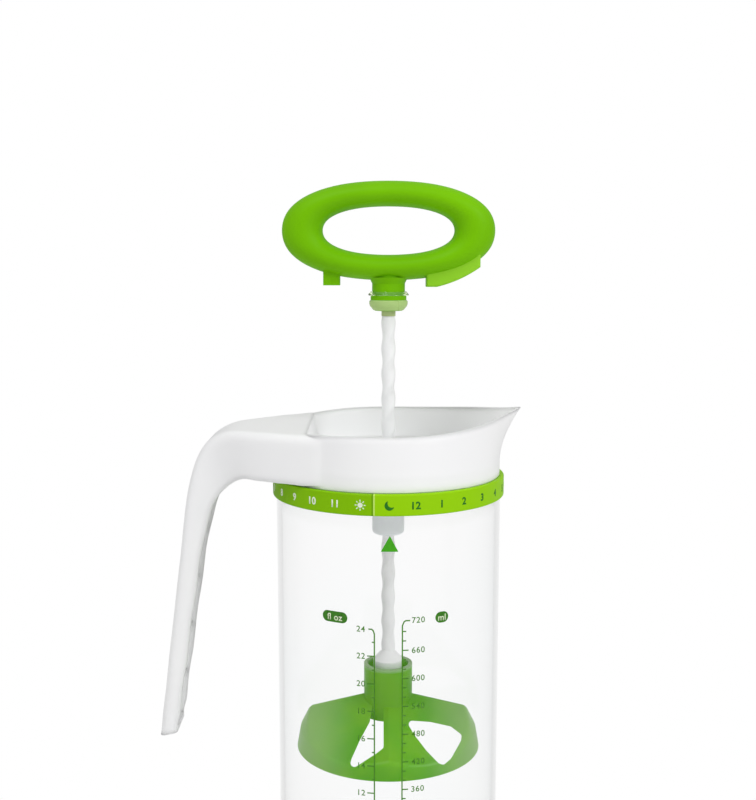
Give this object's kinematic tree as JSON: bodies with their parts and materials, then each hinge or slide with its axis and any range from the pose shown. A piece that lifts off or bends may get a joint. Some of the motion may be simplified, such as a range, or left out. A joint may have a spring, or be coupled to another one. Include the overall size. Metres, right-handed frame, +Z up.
{
  "type": "baby formula pitcher",
  "caption": "Clear jug with a screw lid, pouring spout and hooked handle; an oval plunger grip drives a twisted shaft that spins a bell-shaped mixer, and a time dial turns under the lid.",
  "frame": {"origin": "centre of the jug's flat base, on the axis of the jug, lid and shaft", "axes": "+Z up along the axis, +X towards the pouring spout, -X towards the handle"},
  "size_m": [0.1439, 0.0914, 0.295],
  "materials": {
    "clear_jug": "clear moulded copolyester, glossy",
    "dial_green": "satin yellow-green polypropylene with printed hours",
    "white_lid": "glossy white polypropylene",
    "grip_green": "satin green polypropylene",
    "stopper_green": "lighter green soft elastomer",
    "mixer_green": "translucent green polypropylene",
    "shaft_white": "white acetal, satin",
    "clear_silicone": "clear food-grade silicone, soft"
  },
  "bodies": {
    "jug": {"jug_body": "clear_jug"},
    "dial_ring": {"dial_ring": "dial_green"},
    "gasket": {"lid_gasket": "clear_silicone"},
    "lid": {"spout_collar": "white_lid", "helix_bush": "shaft_white"},
    "swivel": {"swivel_pin": "shaft_white"},
    "shaft": {"mixing_shaft": "shaft_white", "mixer": "mixer_green"},
    "grip": {"plunger_handle": "grip_green", "spout_stopper": "stopper_green", "neck_seal": "clear_silicone", "plug_seal": "clear_silicone", "pin_retainer": "shaft_white"}
  },
  "joints": [
    {"name": "dial_turn", "type": "hinge", "parent": "jug", "child": "dial_ring", "pos_m": [0, 0, 0.177], "axis": [0, 0, 1], "continuous": true},
    {"name": "lid_lift", "type": "slide", "parent": "jug", "child": "gasket", "axis": [0, 0, 1], "range_m": [0, 0.004]},
    {"name": "lid_turn", "type": "hinge", "parent": "gasket", "child": "lid", "pos_m": [0, 0, 0.185], "axis": [0, 0, 1], "range_deg": [0, 60]},
    {"name": "plunger_slide", "type": "slide", "parent": "lid", "child": "swivel", "axis": [0, 0, 1], "range_m": [-0.0576, 0.0481]},
    {"name": "shaft_spin", "type": "hinge", "parent": "swivel", "child": "shaft", "pos_m": [0, 0, 0.2], "axis": [0, 0, 1], "range_deg": [-1035, 864]},
    {"name": "handle_turn", "type": "hinge", "parent": "swivel", "child": "grip", "pos_m": [0, 0, 0.25], "axis": [0, 0, 1], "continuous": true}
  ],
  "couplings": [
    {"joint": "lid_lift", "follows": "lid_turn", "m_per_rad": 0.0038197},
    {"joint": "plunger_slide", "follows": "shaft_spin", "m_per_rad": 0.0031831}
  ]
}
